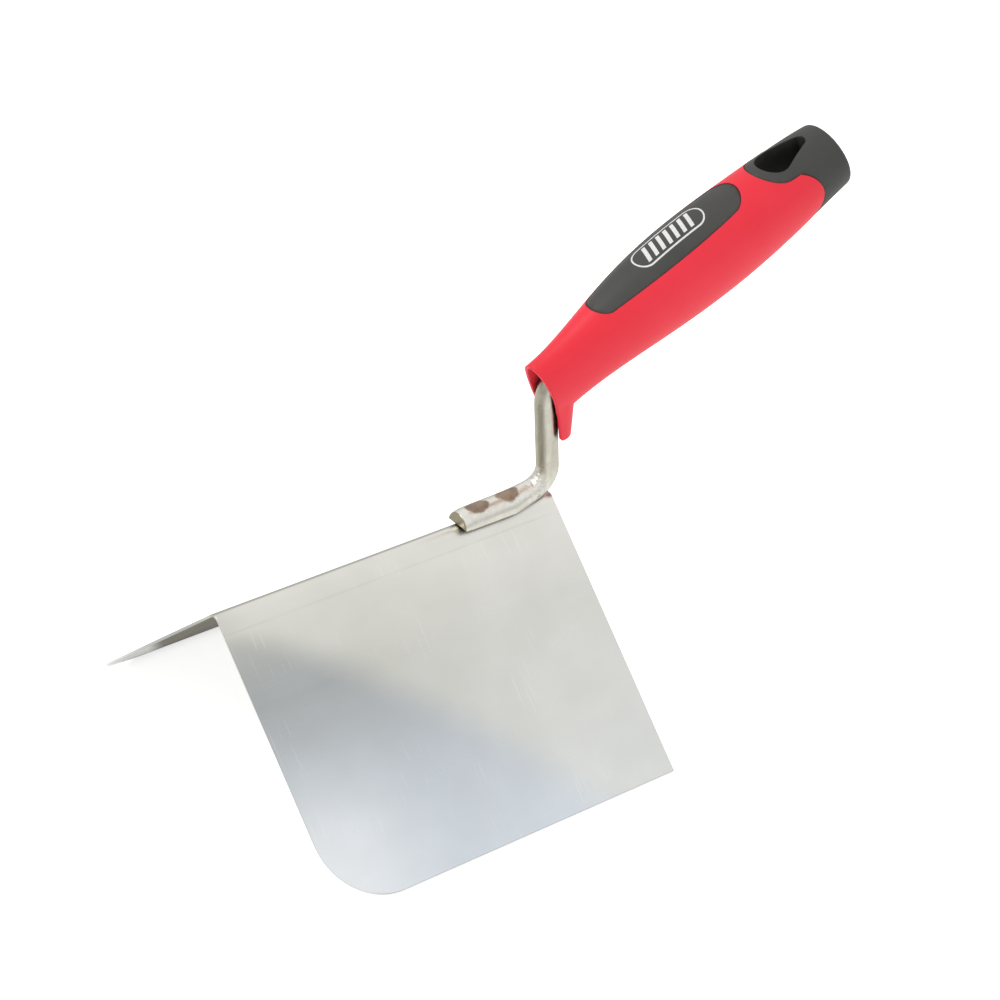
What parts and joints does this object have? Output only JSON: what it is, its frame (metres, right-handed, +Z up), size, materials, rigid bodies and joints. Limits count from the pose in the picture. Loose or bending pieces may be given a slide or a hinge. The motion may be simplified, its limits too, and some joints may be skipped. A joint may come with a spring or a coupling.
{
  "type": "corner trowel",
  "caption": "Outside-corner plastering trowel: a folded stainless sheet blade, a bent rod tang welded along the fold and a soft-sleeved handle with a hanging hole.",
  "frame": {"origin": "the sharp inside corner of the blade's fold at its heel end, where the edge of a wall sits", "axes": "+X along the fold from the toe to the handle, +Z up through the ridge of the fold, +Y across the fold; the blade stands on the long edges of its two wings"},
  "size_m": [0.2233, 0.1336, 0.1585],
  "materials": {
    "blade_steel": "brushed",
    "tang_steel": "satin",
    "weld_steel": "heat tinted",
    "core_plastic": "matte",
    "sleeve_plastic": "satin soft-touch"
  },
  "bodies": {
    "root": {"blade": "blade_steel", "tang": "tang_steel", "spot_welds": "weld_steel", "handle_core": "core_plastic", "grip_sleeve": "sleeve_plastic"}
  },
  "joints": []
}
